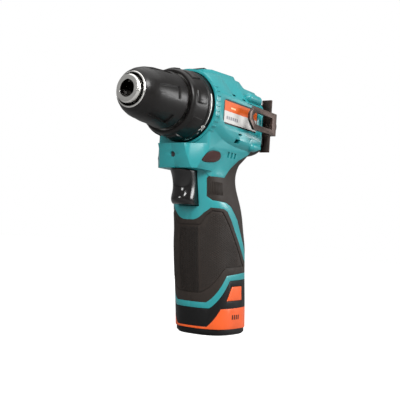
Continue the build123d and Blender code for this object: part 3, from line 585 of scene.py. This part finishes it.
# How far each visible piece's edges are eased, in millimetres.
PLAIN_EDGES = {
    "rear_cap": 0.25, "rear_screws": 0.12, "belt_hook": 0.35, "hook_stud": 0.35, "trigger": 0.5,
    "direction_selector": 0.5, "speed_selector": 0.2, "chuck_body": 0.15, "chuck_front_ring": 0.1,
    "battery_case": 0.15, "battery_band": 0.2, "battery_foot": 0.2, "latch_button_left": 0.35,
    "latch_button_right": 0.35, "label_plates": 0.1, "work_light": 0.1, "torque_ring": 0.3,
    "chuck_sleeve": 0.35, "grip_left": 0.25, "grip_right": 0.25, "spine_left": 0.2, "spine_right": 0.2,
    "housing_left": 0.25, "housing_right": 0.25,
}


class DRILL_OT_inside(bpy.types.Operator):
    """Gives every CAD piece the finish of its material slot"""
    bl_idname = "drill.inside"
    bl_label = "Plain finishes"

    def execute(self, context):
        make_materials()
        for name, node in NODES.items():
            node.data.materials.clear()
            node.data.materials.append(MATERIALS[slot_of(name)])
        return {"FINISHED"}


class DRILL_OT_casings(bpy.types.Operator):
    """Makes the smooth, eased outer casings, covers and controls"""
    bl_idname = "drill.casings"
    bl_label = "Casings and controls"

    def execute(self, context):
        for name, edge in PLAIN_EDGES.items():
            PIECES[name] = refine(name, edge * MM)
        for name in ("jaw_1", "jaw_2", "jaw_3"):
            PIECES[name] = refine(name)
            # the jaws take the near-black steel that paints the bore's shadow
            PIECES[name].data.materials[0] = MATERIALS["jaw_steel"]
        return {"FINISHED"}


class DRILL_OT_grip_texture(bpy.types.Operator):
    """Moulds the honeycomb, the fine studs and the thumb pad's ribs onto the soft grip, and paints shade in
    the cells and shadows beside the studs
    """
    bl_idname = "drill.grip_texture"
    bl_label = "Grip texture"

    def execute(self, context):
        sizes = context.scene.drill_grip
        rim = hex_rim(0.60 * sizes.pitch, 0.40 * sizes.pitch, sizes.dimple)
        # painted shade: a flat dark pad for the floor of each honeycomb cell
        floor = stud(0.42 * sizes.pitch, 0.42 * sizes.pitch, 0.05 * MM, taper=0.9, sides=6)
        fine = stud(0.46 * sizes.stud_pitch, 0.30 * sizes.stud_pitch, 0.24 * MM)
        # painted shadow: a flat dark sliver laid beside each fine stud
        shade = stud(0.42 * sizes.stud_pitch, 0.15 * sizes.stud_pitch, 0.05 * MM, taper=0.9)
        rib = stud(6.2 * MM, 0.40 * sizes.rib_pitch, 0.35 * MM, taper=0.93, turn=math.pi / 4)
        for side, sign in (("left", -1), ("right", 1)):
            grip = bvh(PIECES[f"grip_{side}"])
            cells = self.wrapped(grip, sign, sizes.pitch, 1.2, 19.5, 0.030, 0.0735)
            scatter(f"grip_honeycomb_{side}", cells, rim, "housing", "soft")
            # painted shade in every honeycomb cell
            scatter(f"grip_dimples_{side}", cells, floor, "housing", "soft", material="dark")
            field = self.wrapped(grip, sign, sizes.stud_pitch, 21.5, 105.0, GRIP_LOW, GRIP_HIGH)
            studs = [place for place in field if in_outline(place[0], GRIP_FIELD)]
            scatter(f"grip_studs_{side}", studs, fine, "housing", "soft")
            # painted shadows: a dark sliver a little round from each stud
            shadow_places = [(point, normal, Vector((0.7, 0, 0.7))) for point, normal, _ in
                    self.wrapped(grip, sign, sizes.stud_pitch, 21.5 + 1.8, 103.0, GRIP_LOW, GRIP_HIGH)
                    if in_outline(point, GRIP_FIELD)]
            scatter(f"grip_hatch_{side}", shadow_places, shade, "housing", "soft", material="dark")
            spine = bvh(PIECES[f"spine_{side}"])
            places = []
            for column in range(10):
                x = THUMB_PAD_X + column * sizes.rib_pitch
                start = Vector((x, sign * OUTSIDE, THUMB_PAD_Z))
                point, normal = surface_point(spine, start, Vector((0, -sign, 0)))
                if point is not None and abs(normal.y) > 0.4:
                    places.append((point, normal, Vector((0, 0, 1))))
            scatter(f"thumb_ribs_{side}", places, rib, "housing", "soft")
        return {"FINISHED"}

    @staticmethod
    def wrapped(grip, sign, pitch, first, last, low, high):
        """Staggered places round the grip between two angles in degrees and two heights."""
        places = []
        row_rise = 0.5 * pitch
        step = math.degrees(pitch * math.sqrt(3) / HANDLE_REACH)
        columns = int((last - first) / step)
        for row in range(int((high - low) / row_rise)):
            z = low + row * row_rise
            for column in range(columns):
                turn = math.radians(first + step * (column + 0.5 * (row % 2)))
                aim = Vector((-math.cos(turn), sign * math.sin(turn), 0))
                centre = Vector((HANDLE_MIDDLE_X - HANDLE_RAKE * z, 0, z))
                point, normal = surface_point(grip, centre + aim * OUTSIDE, -aim)
                if point is not None and normal.dot(aim) > 0.3:
                    places.append((point, normal, Vector((0, 0, 1))))
        return places


class DRILL_OT_marks(bpy.types.Operator):
    """Prints the plain scale on the torque ring and the plain bars on the battery band"""
    bl_idname = "drill.marks"
    bl_label = "Printed marks"

    def execute(self, context):
        ring = bvh(PIECES["torque_ring"])
        tick = stud(0.32 * MM, 0.9 * MM, 0.06 * MM, taper=0.98, turn=math.pi / 4)
        places = []
        for step in range(19):
            turn = math.radians(-68 + 15 * step)
            place = self.on_ring(ring, SCALE_X, turn)
            if place and not 20 < math.degrees(turn) < 80:
                places.append((place[0], place[1], Vector((1, 0, 0))))
        scatter("torque_ticks", places, tick, "torque_ring", "chuck_black", material="print")
        self.arc(ring)
        self.numbers(ring)
        self.battery_sign()
        return {"FINISHED"}

    @staticmethod
    def on_ring(ring, x, turn):
        """A point on the torque ring; turn 0 faces left and 90 degrees faces up."""
        aim = Vector((0, -math.cos(turn), math.sin(turn)))
        point, normal = surface_point(ring, Vector((x, 0, AXIS_Z)) + aim * 0.05, -aim)
        return (point, aim) if point is not None else None

    def arc(self, ring):
        """A curved wedge beside the scale, wide at its upper end."""
        shape = bmesh.new()
        steps = 40
        last = None
        for step in range(steps + 1):
            share = step / steps
            turn = math.radians(17 - 52 * share)
            half = (0.10 + 0.42 * (1 - share)) * MM
            row = []
            for x in (ARC_X - half, ARC_X + half):
                point, aim = self.on_ring(ring, x, turn)
                row.append(shape.verts.new(point + aim * PRINT_LIFT))
            if last:
                shape.faces.new((last[0], row[0], row[1], last[1]))
            last = row
        add_piece("torque_arc", self.thickened(shape), "torque_ring", "chuck_black", "print")

    @staticmethod
    def thickened(shape):
        """A printed film given a hair of thickness."""
        mesh = bpy.data.meshes.new("film")
        shape.to_mesh(mesh)
        shape.free()
        film = bpy.data.objects.new("film", mesh)
        bpy.context.scene.collection.objects.link(film)
        solid = film.modifiers.new("Film", "SOLIDIFY")
        solid.thickness = FILM
        solid.offset = 0
        result = applied(film)
        bpy.data.objects.remove(film)
        return result

    def numbers(self, ring):
        """Plain numbers round the ring, bent onto its surface."""
        for text, degrees in (("20", -42), ("16", -78), ("12", -114), ("8", -150), ("4", 174)):
            curve = bpy.data.curves.new(f"number_{text}", "FONT")
            curve.body = text
            curve.size = NUMBER_HEIGHT
            curve.align_x = "CENTER"
            curve.align_y = "CENTER"
            flat = bpy.data.objects.new(f"number_{text}", curve)
            bpy.context.scene.collection.objects.link(flat)
            mesh = applied(flat)
            bpy.data.objects.remove(flat)
            shape = bmesh.new()
            shape.from_mesh(mesh)
            bmesh.ops.remove_doubles(shape, verts=shape.verts, dist=1e-7)
            for vert in shape.verts:
                turn = math.radians(degrees) + vert.co.x / RING_R
                found = self.on_ring(ring, NUMBER_X - vert.co.y, turn)
                vert.co = found[0] + found[1] * PRINT_LIFT
            add_piece(f"torque_number_{text}", self.thickened(shape), "torque_ring", "chuck_black", "print")

    def battery_sign(self):
        """Four plain upright bars on both sides of the battery band."""
        bar = stud(0.9 * MM, 2.2 * MM, 0.12 * MM, taper=0.97, turn=math.pi / 4)
        for side, sign in (("left", -1), ("right", 1)):
            band = bvh(PIECES["battery_band"])
            places = []
            for step in range(4):
                x = SIGN_X + step * SIGN_PITCH
                start = Vector((x, sign * OUTSIDE, SIGN_Z))
                point, normal = surface_point(band, start, Vector((0, -sign, 0)))
                if point is not None:
                    places.append((point, normal, Vector((1, 0, 0))))
            scatter(f"charge_bars_{side}", places, bar, "battery", "black")


class DRILL_OT_collar_ribs(bpy.types.Operator):
    """Adds the short raised ribs round the housing's collar"""
    bl_idname = "drill.collar_ribs"
    bl_label = "Collar ribs"

    def execute(self, context):
        rib = stud(2.9 * MM, 0.72 * MM, 0.5 * MM, taper=0.75, turn=math.pi / 4)
        for side, sign in (("left", -1), ("right", 1)):
            shell = bvh(PIECES[f"housing_{side}"])
            places = []
            for step in range(10):
                turn = math.radians(30 - 7.5 * step)
                aim = Vector((0, sign * math.cos(turn), math.sin(turn)))
                point, normal = surface_point(shell, Vector((COLLAR_RIB_X, 0, AXIS_Z)) + aim * 0.05, -aim)
                if point is not None:
                    places.append((point, normal, Vector((1, 0, 0))))
            scatter(f"collar_ribs_{side}", places, rib, "housing", "shell")
        return {"FINISHED"}


class DRILL_OT_stage(bpy.types.Operator):
    """Builds the floor, the soft lights and the camera"""
    bl_idname = "drill.stage"
    bl_label = "Studio"

    def execute(self, context):
        view = context.scene.drill_studio
        floor = bpy.data.meshes.new("floor")
        half = FLOOR_HALF
        corners = [(-half, -half, 0), (half, -half, 0), (half, half, 0), (-half, half, 0)]
        floor.from_pydata(corners, [], [(0, 1, 2, 3)])
        floor_object = bpy.data.objects.new("floor", floor)
        context.scene.collection.objects.link(floor_object)
        pale = Shader("pale_floor")
        pale.set(Base_Color=(0.30, 0.30, 0.30, 1), Roughness=0.8, Emission_Color=(1, 1, 1, 1))
        eye = pale.add("ShaderNodeLightPath")
        pale.link(eye, "Is Camera Ray", pale.surface, "Emission Strength")
        floor.materials.append(pale.material)
        context.scene.world = self.room(view.room)
        self.light("key", (-0.50, -0.62, 0.62), 0.30, 9.5 * view.lamps)
        self.light("front", (-0.85, -0.10, 0.30), 0.24, 3.2 * view.lamps)
        self.light("side", (0.50, -0.70, 0.30), 0.30, 4.6 * view.lamps)
        self.light("overhead", (-0.03, 0.0, 1.30), 1.60, 13.0 * view.lamps)
        context.scene.view_settings.view_transform = "Standard"
        context.scene.view_settings.look = "None"
        self.camera(context)
        return {"FINISHED"}

    @staticmethod
    def room(strength):
        """A white backdrop that lights the drill less than it shows, so that black pieces stay black."""
        world = bpy.data.worlds.new("soft_room")
        world.use_nodes = True
        tree = world.node_tree
        background = tree.nodes["Background"]
        background.inputs["Color"].default_value = (1, 1, 1, 1)
        path = tree.nodes.new("ShaderNodeLightPath")
        level = tree.nodes.new("ShaderNodeMapRange")
        level.inputs["To Min"].default_value = strength
        level.inputs["To Max"].default_value = 1.0
        tree.links.new(path.outputs["Is Camera Ray"], level.inputs["Value"])
        tree.links.new(level.outputs["Result"], background.inputs["Strength"])
        return world

    @staticmethod
    def light(name, place, size, power):
        """A square soft light that faces the middle of the drill."""
        lamp = bpy.data.lights.new(name, "AREA")
        lamp.size = size
        lamp.energy = power
        holder = bpy.data.objects.new(name, lamp)
        holder.location = place
        aim = Vector(LAMP_AIM) - Vector(place)
        holder.rotation_euler = aim.to_track_quat("-Z", "Y").to_euler()
        bpy.context.scene.collection.objects.link(holder)

    @staticmethod
    def camera(context):
        """A camera from the drill's front left, a little below the chuck."""
        view = context.scene.drill_studio
        lens = bpy.data.cameras.new("camera")
        lens.lens = view.lens
        lens.sensor_width = 36
        lens.clip_start = 0.01
        camera = bpy.data.objects.new("camera", lens)
        back = Vector((math.sin(view.yaw) * math.cos(view.pitch), -math.cos(view.yaw) * math.cos(view.pitch),
                       math.sin(view.pitch)))
        across = (-back).cross(Vector((0, 0, 1))).normalized()
        up = across.cross(-back)
        turned_across = math.cos(view.roll) * across + math.sin(view.roll) * up
        turned_up = -math.sin(view.roll) * across + math.cos(view.roll) * up
        place = Matrix((turned_across, turned_up, back)).transposed().to_4x4()
        place.translation = Vector((view.aim_x, 0, view.aim_z)) + back * view.distance
        camera.matrix_world = place
        context.scene.collection.objects.link(camera)
        context.scene.camera = camera


class DRILL_PT_panel(bpy.types.Panel):
    """The drill's settings and its building steps"""
    bl_idname = "DRILL_PT_panel"
    bl_label = "Cordless drill"
    bl_space_type = "VIEW_3D"
    bl_region_type = "UI"
    bl_category = "Drill"

    def draw(self, context):
        for settings in (context.scene.drill_colours, context.scene.drill_grip, context.scene.drill_studio):
            for key in settings.__annotations__:
                self.layout.prop(settings, key)
        for operator in STEPS:
            self.layout.operator(operator.bl_idname)


STEPS = (DRILL_OT_inside, DRILL_OT_casings, DRILL_OT_grip_texture, DRILL_OT_marks, DRILL_OT_collar_ribs,
         DRILL_OT_stage)
CLASSES = (DrillColours, GripSizes, StudioSizes) + STEPS + (DRILL_PT_panel,)


def register():
    for item in CLASSES:
        bpy.utils.register_class(item)
    bpy.types.Scene.drill_colours = PointerProperty(type=DrillColours)
    bpy.types.Scene.drill_grip = PointerProperty(type=GripSizes)
    bpy.types.Scene.drill_studio = PointerProperty(type=StudioSizes)


def unregister():
    del bpy.types.Scene.drill_studio
    del bpy.types.Scene.drill_grip
    del bpy.types.Scene.drill_colours
    for item in reversed(CLASSES):
        bpy.utils.unregister_class(item)


def main():
    """Builds the whole drill."""
    register()
    bpy.ops.drill.inside()
    bpy.ops.drill.casings()
    bpy.ops.drill.grip_texture()
    bpy.ops.drill.marks()
    bpy.ops.drill.collar_ribs()
    bpy.ops.drill.stage()


if __name__ == "__main__":
    main()
